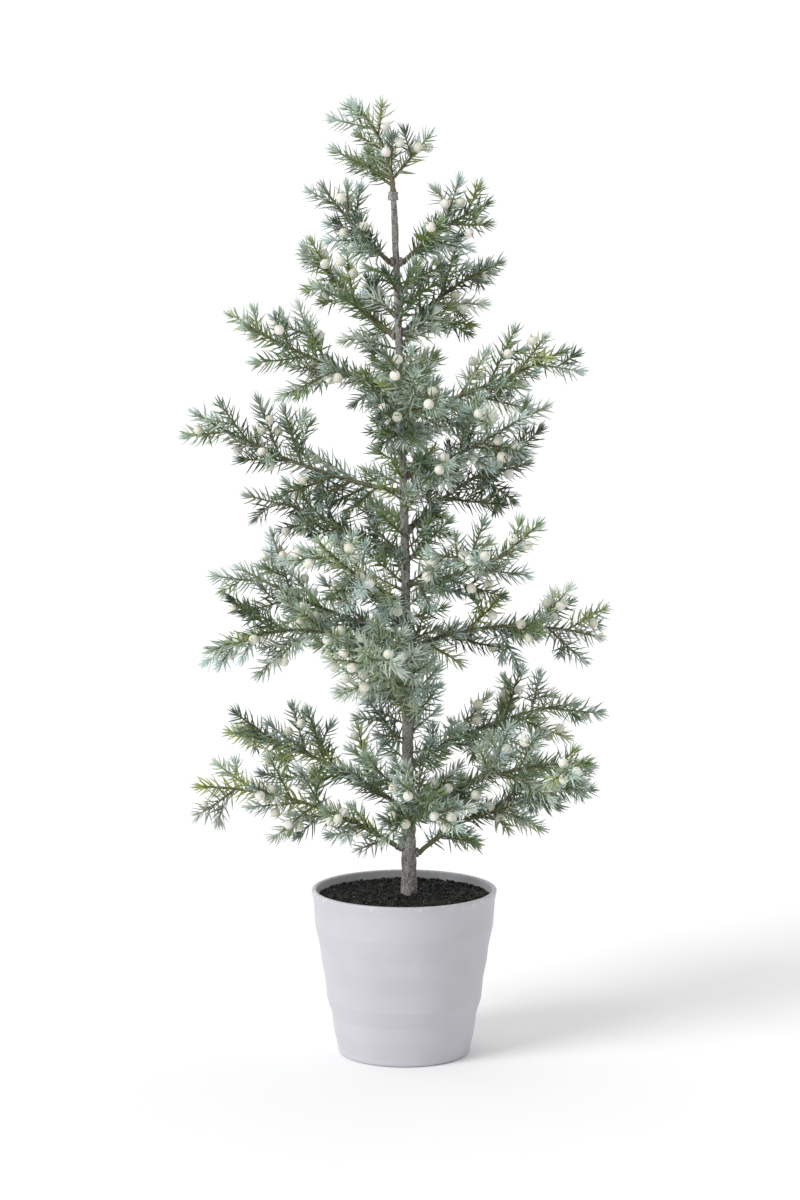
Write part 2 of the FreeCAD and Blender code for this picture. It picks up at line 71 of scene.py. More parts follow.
# needles
NEEDLE_LENGTH = 11.0 * MM
NEEDLE_WIDTH = 1.14 * MM
NEEDLE_FLATNESS = 0.62
NEEDLE_SIDES = 6
NEEDLE_STATIONS = np.array([0.0, 0.14, 0.38, 0.62, 0.84, 1.0])
NEEDLE_PROFILE = np.array([0.72, 1.0, 0.98, 0.80, 0.46, 0.08])
WHORL_SPACING = 2.2 * MM
WHORL_NEEDLES = 3
WHORL_TURN = 0.86
TIP_NEEDLES = 8
STEM_BARE_SHARE = 0.12
TWIG_BARE = 2.5 * MM

# how far needles open from their sprig, in degrees, and from where they close up towards its tip
OPENING, OLD_OPENING, YOUNG_CLOSING, OPENING_SPREAD = 56.0, 8.0, 14.0, 6.0
OLD_FROM, YOUNG_FROM, SHORT_FROM, FROSTED_FROM = 20.0 * MM, 6.0 * MM, 9.0 * MM, 14.0 * MM
TIP_OPENING, TIP_OPENING_MORE, TIP_SPREAD = 14.0, 20.0, 4.0
SHORT_SHARE, SHORTER_BY = 0.80, 0.1
OUTER_FROST, TIP_FROST = 0.25, 0.3

# how light and how frosted the sprigs are: the usual, and how much it differs from one to the next
USUAL_TONE, TONE_SPREAD = 0.38, 0.24
USUAL_FROST, FROST_SPREAD = 0.32, 0.25

# the small sprigs between the wired ones: near the trunk, and on the longer twigs
INNER_SPRIGS = 4
INNER_LENGTHS = (17.0 * MM, 27.0 * MM)
INNER_ROLLS = (155.0, 385.0)
SIDE_SHARE = 0.42
SHORTEST_FORKED = 22.0 * MM

# tufts: the smallest sprigs, all the way up the trunk
TUFTS = 78
TUFTS_LOWEST = 148.0 * MM
TUFTS_HIGHEST = 500.0 * MM
TUFT_LENGTHS = (14.0 * MM, 28.0 * MM)
TUFT_RISES = (10.0, 45.0)
GOLDEN_TURN = math.radians(137.5)

# bark of the trunk and its knots
BARK_SIDES = 44
BARK_STEP = 0.9 * MM
BARK_OUTMOST = 0.55 * MM
BARK_INMOST = -0.8 * MM
KNOT_VOXEL = 0.4 * MM

# berries and soil
BERRY_SHARES = (0.98, 1.05)
STALK_RADIUS = 0.35 * MM
STALK_RINGS = 4
SOIL_RINGS, SOIL_SIDES = 64, 180
SOIL_CROWN = 1.6 * MM
CRUMBS = 900
CRUMB_SIZES = (0.4 * MM, 1.25 * MM)

# ------------------------------------------------------------------------------ vectors and meshes


def unit(v):
    return v / np.maximum(np.linalg.norm(v, axis=-1, keepdims=True), 1e-12)


def square_axes(way):
    """Two unit vectors square to each direction and to each other."""
    way = np.atleast_2d(way)
    helper = np.where(np.abs(way[:, 2:3]) < 0.9, UP, np.array([1.0, 0.0, 0.0]))
    across = unit(np.cross(way, helper))
    return across, np.cross(across, way)


def make_mesh(name, verts, faces, smooth=True, **attributes):
    """A mesh object from arrays: faces is a list of integer arrays, each of faces with as many corners."""
    mesh = bpy.data.meshes.new(name)
    mesh.vertices.add(len(verts))
    mesh.vertices.foreach_set("co", np.asarray(verts, np.float32).ravel())
    sizes = np.concatenate([np.full(len(f), f.shape[1]) for f in faces])
    mesh.loops.add(int(sizes.sum()))
    mesh.loops.foreach_set("vertex_index", np.concatenate([f.ravel() for f in faces]).astype(np.int32))
    mesh.polygons.add(len(sizes))
    starts = np.concatenate([[0], np.cumsum(sizes)[:-1]]).astype(np.int32)
    mesh.polygons.foreach_set("loop_start", starts)
    mesh.polygons.foreach_set("use_smooth", np.full(len(sizes), smooth))
    mesh.update(calc_edges=True)
    mesh.validate()
    for key, values in attributes.items():
        layer = mesh.attributes.new(key, "FLOAT", "POINT")
        layer.data.foreach_set("value", np.asarray(values, np.float32))
    made = bpy.data.objects.new(name, mesh)
    bpy.context.scene.collection.objects.link(made)
    return made


def tubes(centres, ways, widths, sides, flatness=1.0, turn=None):
    """Closed tapered tubes, all alike in layout.

    centres and ways are (tube, ring, 3) and widths (tube, ring). Returns the vertices, as (tube, vertex, 3),
    and the faces' corners as numbers in one tube.
    """
    count, rings, _ = centres.shape
    across, above = square_axes(ways[:, 0])
    if turn is not None:
        c, s = np.cos(turn)[:, None], np.sin(turn)[:, None]
        across, above = across * c + above * s, above * c - across * s
    across = across[:, None] - np.sum(across[:, None] * ways, -1, keepdims=True) * ways
    across = unit(across)
    above = np.cross(across, ways)
    angle = np.arange(sides) * 2 * math.pi / sides
    c, s = np.cos(angle), np.sin(angle) * flatness
    ring = across[:, :, None] * c[:, None] + above[:, :, None] * s[:, None]
    verts = (centres[:, :, None] + ring * widths[:, :, None, None]).reshape(count, rings * sides, 3)
    verts = np.concatenate([verts, centres[:, :1], centres[:, -1:]], 1)
    quads, caps = [], []
    for k in range(rings - 1):
        for i in range(sides):
            j = (i + 1) % sides
            quads.append((k * sides + i, (k + 1) * sides + i, (k + 1) * sides + j, k * sides + j))
    low, high, last = rings * sides, rings * sides + 1, (rings - 1) * sides
    for i in range(sides):
        j = (i + 1) % sides
        caps.append((low, i, j))
        caps.append((high, last + j, last + i))
    return verts, np.array(quads), np.array(caps)


def repeated(pattern, count, step):
    """A face pattern for one tube, repeated for each of a number of tubes."""
    return (pattern[None] + (np.arange(count) * step)[:, None, None]).reshape(-1, pattern.shape[1])


class Curve:
    """A smooth line through points, by its share of length from 0 to 1."""

    def __init__(self, points):
        self.points = np.asarray(points, float)
        steps = np.linalg.norm(np.diff(self.points, axis=0), axis=1)
        self.length = steps.sum()
        self.share = np.concatenate([[0], np.cumsum(steps)]) / self.length

    def at(self, share):
        return np.stack([np.interp(share, self.share, self.points[:, k]) for k in range(3)], -1)

    def way(self, share):
        share = np.asarray(share, float)
        reach = 0.02
        low, high = np.clip(share - reach, 0, 1), np.clip(share + reach, 0, 1)
        return unit(self.at(high) - self.at(low))


# ------------------------------------------------------------------------------ reading the frame


def loose_parts(node):
    """The separate solids of a CAD node, each as an array of its vertices."""
    mesh = frame["nodes"][node].data
    spots = np.empty(len(mesh.vertices) * 3, np.float32)
    mesh.vertices.foreach_get("co", spots)
    spots = spots.reshape(-1, 3).astype(float)
    _, same = np.unique(np.round(spots / (0.001 * MM)).astype(np.int64), axis=0, return_inverse=True)
    same = same.ravel()
    edges = np.empty(len(mesh.edges) * 2, np.int32)
    mesh.edges.foreach_get("vertices", edges)
    edges = same[edges].reshape(-1, 2)
    label = np.arange(same.max() + 1)
    while True:
        low = np.minimum(label[edges[:, 0]], label[edges[:, 1]])
        merged = label.copy()
        np.minimum.at(merged, edges[:, 0], low)
        np.minimum.at(merged, edges[:, 1], low)
        merged = merged[merged]
        if (merged == label).all():
            break
        label = merged
    label = label[same]
    return [spots[label == which] for which in np.unique(label)]


def stem_curve(spots, root, points=90):
    """The line along a stem, which bends in an upright plane, from its ball's centre to its tip."""
    far = np.linalg.norm(spots - root, axis=1)
    tip = spots[far > far.max() - 0.4 * MM].mean(0)
    chord = unit(tip - root)
    above = unit(UP - chord * chord[2])
    body = spots[far > 1.5 * KNUCKLE_RADIUS]
    along, rise = (body - root) @ chord, (body - root) @ above
    reach = np.linalg.norm(tip - root)
    basis = np.stack([along * (reach - along), along**2 * (reach - along)], 1)
    bend = np.linalg.lstsq(basis, rise, rcond=None)[0]
    steps = np.linspace(0, reach, points)
    height = steps * (reach - steps) * (bend[0] + bend[1] * steps)
    return Curve(root + steps[:, None] * chord + height[:, None] * above)


def twig_ends(spots, far_from):
    """A straight twig's foot and tip, by how far each of its ends is from what it grows on."""
    middle = spots.mean(0)
    way = np.linalg.svd(spots - middle, full_matrices=False)[2][0]
    along = (spots - middle) @ way
    return sorted((middle + way * along.min(), middle + way * along.max()), key=far_from)


def twig_line(spots, stem):
    """Where a twig leaves the middle of its stem, as a share of the stem, and where its tip is."""
    foot, tip = twig_ends(spots, lambda end: np.linalg.norm(stem.points - end, axis=1).min())
    way = unit(tip - foot)
    offset = stem.points - foot
    off_line = np.linalg.norm(offset - (offset @ way)[:, None] * way, axis=1)
    near = np.linalg.norm(offset, axis=1) < 6 * MM
    nearest = np.argmin(np.where(near, off_line, 1.0))
    return stem.share[nearest], tip


class Sprig:
    """One needled length: a twig, or the outer part of a stem."""

    def __init__(self, curve, start, root_radius, tip_radius):
        self.curve, self.start = curve, start
        self.root_radius, self.tip_radius = root_radius, tip_radius


class Growth:
    """Sprigs that belong to one piece, bowed a little as soft wire is."""

    def __init__(self, name):
        self.name, self.stem, self.twigs = name, None, []

    def sprig(self, foot, tip, parent_radius):
        """A twig between two points, bowed a little, mostly upwards."""
        length = np.linalg.norm(tip - foot)
        way = (tip - foot) / length
        across, _ = (v[0] for v in square_axes(way))
        lean = across * rng.uniform(-0.7, 0.7) + UP * rng.uniform(-0.2, 1.0)
        bow = TWIG_BOW * (lean - way * (lean @ way)) * min(1.0, length / (40 * MM))
        steps = np.linspace(0, 1, 12)[:, None]
        curve = Curve(foot + way * length * steps + bow * steps**2)
        bare = (parent_radius + TWIG_BARE) / length
        return Sprig(curve, bare, max(TWIG_ROOT_SHARE * parent_radius, TWIG_TIP_RADIUS), TWIG_TIP_RADIUS)

    def side_sprig(self, parent, share, parent_radius, length, rolls=(0, 360)):
        """Adds a small sprig that leaves a stem or twig: 0 is to its side, 90 on top and 270 below."""
        foot, axis = parent.at(share), parent.way(share)
        across, above = (v[0] for v in square_axes(axis))
        roll, split = math.radians(rng.uniform(*rolls)), math.radians(rng.uniform(42, 60))
        outward = across * math.cos(roll) + above * math.sin(roll)
        way = axis * math.cos(split) + outward * math.sin(split)
        self.twigs.append(self.sprig(foot, foot + way * length, parent_radius))

    def fork(self):
        """Adds a small side sprig to each of the longer twigs."""
        for twig in list(self.twigs):
            if twig.curve.length > SHORTEST_FORKED:
                share = rng.uniform(0.28, 0.55)
                self.side_sprig(twig.curve, share, 0.6 * MM, SIDE_SHARE * twig.curve.length)


class TrunkGrowth(Growth):
    """The short sprigs that grow straight from the trunk's bark."""

    def __init__(self, node):
        super().__init__(node)
        rows = trunk_profile()

        def from_axis(end):
            axis = [np.interp(end[2], rows[:, 0], rows[:, k]) for k in (1, 2)]
            return np.linalg.norm(end[:2] - axis)

        for solid in loose_parts(node):
            foot, tip = twig_ends(solid, from_axis)
            self.twigs.append(self.sprig(foot, tip, SPRIG_ROOT_RADIUS))
        self.fork()
        self.sprigs = self.twigs


class TrunkTufts(Growth):
    """The smallest sprigs on the trunk, which turn round it from one to the next, with no CAD node."""

    def __init__(self, name):
        super().__init__(name)
        rows = trunk_profile()
        for number in range(TUFTS):
            share = (number + 0.5) / TUFTS
            height = TUFTS_LOWEST + (TUFTS_HIGHEST - TUFTS_LOWEST) * share
            turn = GOLDEN_TURN * number + rng.uniform(-0.3, 0.3)
            rise = math.radians(rng.uniform(*TUFT_RISES))
            outward = np.array([math.cos(turn), math.sin(turn), 0.0])
            x, y, radius = (np.interp(height, rows[:, 0], rows[:, k]) for k in (1, 2, 3))
            foot = np.array([x, y, height]) + outward * radius * 0.7
            way = outward * math.cos(rise) + UP * math.sin(rise)
            tip = foot + way * rng.uniform(*TUFT_LENGTHS)
            self.twigs.append(self.sprig(foot, tip, SPRIG_ROOT_RADIUS))
        self.sprigs = self.twigs


class Limb(Growth):
    """A limb of the frame: its stem's curve, and its sprigs."""

    def __init__(self, body, joint):
        super().__init__(body)
        self.root = np.array(joint["pos_m"], float)
        solids = loose_parts(body)
        spans = [np.ptp(solid, axis=0) @ np.ptp(solid, axis=0) for solid in solids]
        stem = solids.pop(int(np.argmax(spans)))
        self.stem = stem_curve(stem, self.root)
        for solid in solids:
            share, tip = twig_line(solid, self.stem)
            self.twigs.append(self.sprig(self.stem.at(share), tip, self.stem_radius(share)))
        self.fork()
        for number in range(INNER_SPRIGS):
            share = rng.uniform(0.5, 1.0) * (number + 1) * 0.3 / INNER_SPRIGS
            radius, length = self.stem_radius(share), rng.uniform(*INNER_LENGTHS)
            self.side_sprig(self.stem, share, radius, length, INNER_ROLLS)
        outer = Sprig(self.stem, STEM_BARE_SHARE, STEM_ROOT_RADIUS, STEM_TIP_RADIUS)
        self.sprigs = self.twigs + [outer]

    def stem_radius(self, share):
        return STEM_ROOT_RADIUS + (STEM_TIP_RADIUS - STEM_ROOT_RADIUS) * share


# ------------------------------------------------------------------------------ needles


def needles(growth, tones, frosts):
    """All the needles on a limb or on the trunk's sprigs, as one piece.

    Each vertex has its needle's tone and frost, and its own place along the needle.
    """
    feet, ways, axes, lengths, tone, frost = [], [], [], [], [], []
    for sprig, own_tone, own_frost in zip(growth.sprigs, tones, frosts):
        curve = sprig.curve
        reach = curve.length * (1 - sprig.start)
        whorls = max(2, int(reach / WHORL_SPACING))
        turn = rng.uniform(0, 2 * math.pi)
        for w in range(whorls):
            share = sprig.start + (1 - sprig.start) * (w + 0.5) / whorls
            to_tip = (1 - share) * curve.length
            for k in range(WHORL_NEEDLES):
                here = min(1.0, share + rng.uniform(-0.4, 0.4) * WHORL_SPACING / curve.length)
                angle = turn + k * 2 * math.pi / WHORL_NEEDLES + rng.normal(0, 0.16)
                older = OLD_OPENING * min(1.0, to_tip / OLD_FROM)
                younger = YOUNG_CLOSING * max(0, 1 - to_tip / YOUNG_FROM)
                opening = OPENING + older - younger + rng.normal(0, OPENING_SPREAD)
                place(feet, ways, axes, curve, here, angle, math.radians(opening))
                grown = min(1, to_tip / SHORT_FROM)
                lengths.append(NEEDLE_LENGTH * (SHORT_SHARE + (1 - SHORT_SHARE) * grown))
                frost.append(own_frost + OUTER_FROST * (1 - min(1, to_tip / FROSTED_FROM)))
                tone.append(own_tone)
            turn += WHORL_TURN
        for k in range(TIP_NEEDLES):
            angle = turn + k * 2 * math.pi / TIP_NEEDLES + rng.normal(0, 0.2)
            opening = TIP_OPENING + TIP_OPENING_MORE * (k % 2) + rng.normal(0, TIP_SPREAD)
            place(feet, ways, axes, curve, 1 - 0.3 * MM / curve.length, angle, math.radians(opening))
            lengths.append(NEEDLE_LENGTH * (SHORT_SHARE - SHORTER_BY * (k % 2)))
            frost.append(own_frost + TIP_FROST)
            tone.append(own_tone)
    feet, ways, axes = np.array(feet), np.array(ways), np.array(axes)
    count = len(feet)
    lengths = np.array(lengths) * rng.normal(1.0, 0.08, count).clip(0.8, 1.16)
    widths = NEEDLE_WIDTH / 2 * rng.normal(1.0, 0.1, count).clip(0.75, 1.25)
    # each needle curves forward, towards its sprig's tip, and a little sideways
    sweep = axes * rng.normal(0.17, 0.10, (count, 1)) + rng.normal(0, 0.07, (count, 3))
    sweep -= np.sum(sweep * ways, 1, keepdims=True) * ways
    t = NEEDLE_STATIONS[None, :, None]
    centres = feet[:, None] + lengths[:, None, None] * (ways[:, None] * t + sweep[:, None] * t**2)
    heading = unit(ways[:, None] + 2 * sweep[:, None] * t)
    spin = rng.uniform(0, math.pi, count)
    widths = widths[:, None] * NEEDLE_PROFILE
    verts, quads, caps = tubes(centres, heading, widths, NEEDLE_SIDES, NEEDLE_FLATNESS, spin)
    step = verts.shape[1]
    along = np.concatenate([np.repeat(NEEDLE_STATIONS, NEEDLE_SIDES), [0.0, 1.0]])
    each = np.ones(step)
    jitter = rng.normal(0, 0.08, count)
    return make_mesh(
        f"needles_{growth.name}",
        verts.reshape(-1, 3),
        [repeated(quads, count, step), repeated(caps, count, step)],
        tone=np.outer(np.array(tone) + jitter, each).ravel(),
        frost=np.outer(np.array(frost) + rng.normal(0, 0.10, count), each).ravel(),
        along=np.outer(np.ones(count), along).ravel(),
    )


def place(feet, ways, axes, curve, share, angle, opening):
    """Adds one needle's foot, its direction and its sprig's direction there."""
    axis = curve.way(share)
    across, above = (v[0] for v in square_axes(axis))
    outward = across * math.cos(angle) + above * math.sin(angle)
    feet.append(curve.at(share))
    ways.append(axis * math.cos(opening) + outward * math.sin(opening))
    axes.append(axis)


# ------------------------------------------------------------------------------ wood


def rough(points, scale, depth, octaves=3):
    """How far bark at each point stands out or in, from fractal noise of a given size."""
    return depth * np.array(
        [noise.fractal(Vector(p / scale), 1.0, 2.0, octaves) for p in points]
    )


def stem_tube(limb):
    """The line, directions, widths and sides of a limb's ball and stem, as one tube."""
    rings = int(limb.stem.length / (0.8 * MM))
    share = np.linspace(0, 1, rings)
    steps = share * limb.stem.length
    ball = np.sqrt(np.maximum(KNUCKLE_RADIUS**2 - steps**2, 0))
    back = np.linspace(-KNUCKLE_RADIUS * 0.985, -0.25 * KNUCKLE_RADIUS, 5)
    stem = np.maximum(limb.stem_radius(share), ball)
    radii = np.concatenate([np.sqrt(KNUCKLE_RADIUS**2 - back**2), stem])
    start_way = limb.stem.way(0.0)
    centres = np.concatenate([limb.root + back[:, None] * start_way, limb.stem.at(share)])
    ways = np.concatenate([np.repeat(start_way[None], 5, 0), limb.stem.way(share)])
    return centres, ways, radii, 12


def wood(growth):
    """A limb's ball, stem and twigs, or the trunk's own sprigs, as wire wrapped in lumpy bark tape."""
    verts, faces, done = [], [], 0
    pieces = [stem_tube(growth)] if growth.stem else []
    for sprig in growth.twigs:
        count = int(sprig.curve.length / (1.1 * MM))
        share = np.linspace(0.01, 1, count)
        radii = sprig.root_radius + (sprig.tip_radius - sprig.root_radius) * share
        pieces.append((sprig.curve.at(share), sprig.curve.way(share), radii, 8))
    for centres, ways, radii, sides in pieces:
        tube, quads, caps = tubes(centres[None], ways[None], radii[None], sides)
        tube = tube[0]
        middle = np.concatenate([np.repeat(centres, sides, 0), centres[:1], centres[-1:]])
        out = tube - middle
        lump = 1 + rough(tube, 1.7 * MM, 0.16)[:, None] + rough(tube, 0.6 * MM, 0.08, 2)[:, None]
        verts.append(middle + out * lump.clip(0.75, 1.16))
        faces.append((quads + done, caps + done))
        done += len(tube)
    return make_mesh(
        f"wood_{growth.name}",
        np.concatenate(verts),
        [np.concatenate([f[0] for f in faces]), np.concatenate([f[1] for f in faces])],
    )


def trunk_profile():
    """The bark sleeve's heights, centres and radii, level by level."""
    spots = np.concatenate(loose_parts("trunk_bark"))
    levels = np.unique(np.round(spots[:, 2], 5))
    rows = []
    for level in levels:
        ring = spots[np.abs(spots[:, 2] - level) < 0.02 * MM]
        low, high = ring.min(0), ring.max(0)
        if high[0] - low[0] > 3.2 * MM:
            rows.append((level, *((low + high) / 2)[:2], (high[0] - low[0]) / 2))
    return np.array(rows)


def trunk():
    """The trunk's bark: long ridges, knots and a crumbly surface, sealed at both ends."""
    rows = trunk_profile()
    heights = np.arange(rows[0, 0], rows[-1, 0], BARK_STEP)
    centres = np.stack(
        [np.interp(heights, rows[:, 0], rows[:, k]) for k in (1, 2)] + [heights], 1
    )
    radii = np.interp(heights, rows[:, 0], rows[:, 3])
    ways = np.repeat(UP[None], len(heights), 0)
    tube, quads, caps = tubes(centres[None], ways[None], radii[None], BARK_SIDES)
    tube = tube[0]
    middle = np.concatenate([np.repeat(centres, BARK_SIDES, 0), centres[:1], centres[-1:]])
    out = tube - middle
    stretched = tube * np.array([1, 1, 0.28])
    ridges = rough(stretched, 1.5 * MM, 0.42 * MM, 4) + rough(tube, 7 * MM, 0.35 * MM, 2)
    grain = rough(tube, 0.55 * MM, 0.16 * MM, 2)
    length = np.maximum(np.linalg.norm(out, axis=1, keepdims=True), 1e-9)
    edge = (ridges + grain - 0.15 * MM)[:, None].clip(BARK_INMOST, BARK_OUTMOST)
    edge[-2:] = 0
    return make_mesh("bark_trunk", tube + out / length * edge, [quads, caps])


def knots():
    """The knots that hold the branches' balls: the CAD collars, remeshed and roughened like the bark."""
    source = frame["nodes"]["branch_collars"]
    made = bpy.data.objects.new("bark_knots", source.data.copy())
    bpy.context.scene.collection.objects.link(made)
    made.data.materials.clear()
    remesh = made.modifiers.new("even", "REMESH")
    remesh.mode = "VOXEL"
    remesh.voxel_size = KNOT_VOXEL
    graph = bpy.context.evaluated_depsgraph_get()
    mesh = bpy.data.meshes.new_from_object(made.evaluated_get(graph), depsgraph=graph)
    made.modifiers.clear()
    made.data = mesh
    count = len(mesh.vertices)
    spots, normals = np.empty(count * 3, np.float32), np.empty(count * 3, np.float32)
    mesh.vertices.foreach_get("co", spots)
    mesh.vertices.foreach_get("normal", normals)
    spots, normals = spots.reshape(-1, 3).astype(float), normals.reshape(-1, 3)
    lift = rough(spots, 1.6 * MM, 0.28 * MM) + rough(spots, 0.6 * MM, 0.12 * MM, 2)
    mesh.vertices.foreach_set("co", (spots + normals * lift[:, None]).astype(np.float32).ravel())
    mesh.polygons.foreach_set("use_smooth", np.ones(len(mesh.polygons), bool))
    mesh.update()
    return made


# ------------------------------------------------------------------------------ berries


def berry_ball(columns=22, rows=14):
    """A unit ball round the origin with its stalk's end at the bottom and a dimple at the top."""
    verts = [(0.0, 0.0, -1.0)]
    for r in range(1, rows):
        tilt = math.pi * r / rows
        for c in range(columns):
            turn = 2 * math.pi * c / columns
            verts.append((math.sin(tilt) * math.cos(turn), math.sin(tilt) * math.sin(turn), -math.cos(tilt)))
    verts.append((0.0, 0.0, 1.0))
    verts = np.array(verts)
    crown = np.exp(-(1 - verts[:, 2]) / 0.035)
    socket = np.exp(-(1 + verts[:, 2]) / 0.05)
    verts = verts * (1 - 0.13 * crown - 0.08 * socket)[:, None]
    last = len(verts) - 1
    quads, caps = [], []
    for r in range(rows - 2):
        for c in range(columns):
            d = (c + 1) % columns
            a, b = 1 + r * columns, 1 + (r + 1) * columns
            quads.append((a + c, a + d, b + d, b + c))
    for c in range(columns):
        d = (c + 1) % columns
        caps.append((0, 1 + d, 1 + c))
        caps.append((last, last - columns + c, last - columns + d))
    return verts, np.array(quads), np.array(caps)


BALL = berry_ball()


def berries(limb, node):
    """A limb's berries: each slightly uneven, with a dimple, a frosted bloom and a thin stalk."""
    ball, ball_quads, ball_caps = BALL
    verts, quads, caps, ripe, done = [], [], [], [], 0
    for solid in loose_parts(node):
        centre = solid.mean(0)
        for _ in range(4):
            gap = np.linalg.norm(solid - centre, axis=1)
            shell = solid[gap < np.median(gap) * 1.08]
            matrix = np.hstack([2 * shell, np.ones((len(shell), 1))])
            fit = np.linalg.lstsq(matrix, (shell**2).sum(1), rcond=None)[0]
            centre = fit[:3]
        radius = math.sqrt(fit[3] + centre @ centre)
        foot = solid[np.argmax(np.linalg.norm(solid - centre, axis=1))]
        up = unit(centre - foot)
        across, above = (v[0] for v in square_axes(up))
        turned = ball @ np.stack([across, above, up])
        own = rng.uniform(0, 40, 3)
        uneven = 1 + rough(ball + own, 1.3, 0.035, 2)
        size = radius * rng.uniform(*BERRY_SHARES)
        verts.append(centre + turned * (size * uneven)[:, None])
        quads.append(ball_quads + done)
        caps.append(ball_caps + done)
        done += len(ball)
        steps = np.linspace(0, 1, STALK_RINGS)[:, None]
        line = foot + (centre - up * size * 0.9 - foot) * steps
        ways = np.repeat(up[None], STALK_RINGS, 0)
        widths = np.full((1, STALK_RINGS), STALK_RADIUS)
        tube, tube_quads, tube_caps = tubes(line[None], ways[None], widths, 8)
        verts.append(tube[0])
        quads.append(tube_quads + done)
        caps.append(tube_caps + done)
        done += len(tube[0])
        tint = rng.uniform(0, 1)
        ripe += [tint] * len(ball) + [-1.0] * len(tube[0])
    return make_mesh(
        f"fruit_{limb.name}",
        np.concatenate(verts),
        [np.concatenate(quads), np.concatenate(caps)],
        ripe=ripe,
    )


# ------------------------------------------------------------------------------ soil


def soil():
    """The glued soil: an uneven crumbly disc as wide as the CAD's, with loose crumbs on it."""
    low, high = (np.array(corner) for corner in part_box("soil_layer"))
    centre = (low + high) / 2
    radius = (high[0] - low[0]) / 2
    crown, rings, sides = SOIL_CROWN, SOIL_RINGS, SOIL_SIDES
    verts, quads, caps = [], [], []
    for r in range(rings):
        share = (r + 1) / rings
        for i in range(sides):
            turn = 2 * math.pi * i / sides
            x, y = math.cos(turn) * radius * share, math.sin(turn) * radius * share
            verts.append((centre[0] + x, centre[1] + y, high[2] - crown * share - 0.5 * MM))
    verts = np.array(verts)
    bumps = rough(verts, 6 * MM, 0.9 * MM, 3) + rough(verts, 1.8 * MM, 0.75 * MM, 3)
    rim = np.repeat(np.arange(1, rings + 1) / rings, sides) > 0.985
    verts[:, 2] += np.where(rim, bumps.clip(-0.9 * MM, 0.4 * MM), bumps.clip(-1.6 * MM, 1.6 * MM))
    foot = verts[-sides:].copy()
    foot[:, 2] = low[2]
    shrink = 0.994
    foot[:, :2] = centre[:2] + (foot[:, :2] - centre[:2]) * shrink
    verts = np.concatenate([verts, foot, [verts[:sides].mean(0)], [[centre[0], centre[1], low[2]]]])
    for r in range(rings):
        for i in range(sides):
            j = (i + 1) % sides
            quads.append((r * sides + i, (r + 1) * sides + i, (r + 1) * sides + j, r * sides + j))
    top, bottom = (rings + 1) * sides, (rings + 1) * sides + 1
    for i in range(sides):
        j = (i + 1) % sides
        caps.append((top, i, j))
        caps.append((bottom, rings * sides + j, rings * sides + i))
    verts, quads, caps = [verts], [np.array(quads)], [np.array(caps)]
    done = len(verts[0])
    ball, ball_quads, ball_caps = berry_ball(9, 6)
    for _ in range(CRUMBS):
        spread, turn = radius * 0.96 * math.sqrt(rng.uniform(0.02, 1)), rng.uniform(0, 2 * math.pi)
        size = rng.uniform(*CRUMB_SIZES)
        spot = centre + np.array([spread * math.cos(turn), spread * math.sin(turn), 0])
        spot[2] = high[2] - crown * spread / radius + rng.uniform(-0.4, 0.6) * MM
        lump = 1 + rough(ball + rng.uniform(0, 60, 3), 0.8, 0.55, 2)
        shape = ball * np.array([1, 1, 0.8]) * rng.uniform(0.6, 1.2, 3)
        verts.append(spot + shape * (lump * size)[:, None])
        quads.append(ball_quads + done)
        caps.append(ball_caps + done)
        done += len(ball)
    return make_mesh("soil_crumbs", np.concatenate(verts), [np.concatenate(quads), np.concatenate(caps)])


# ------------------------------------------------------------------------------ materials


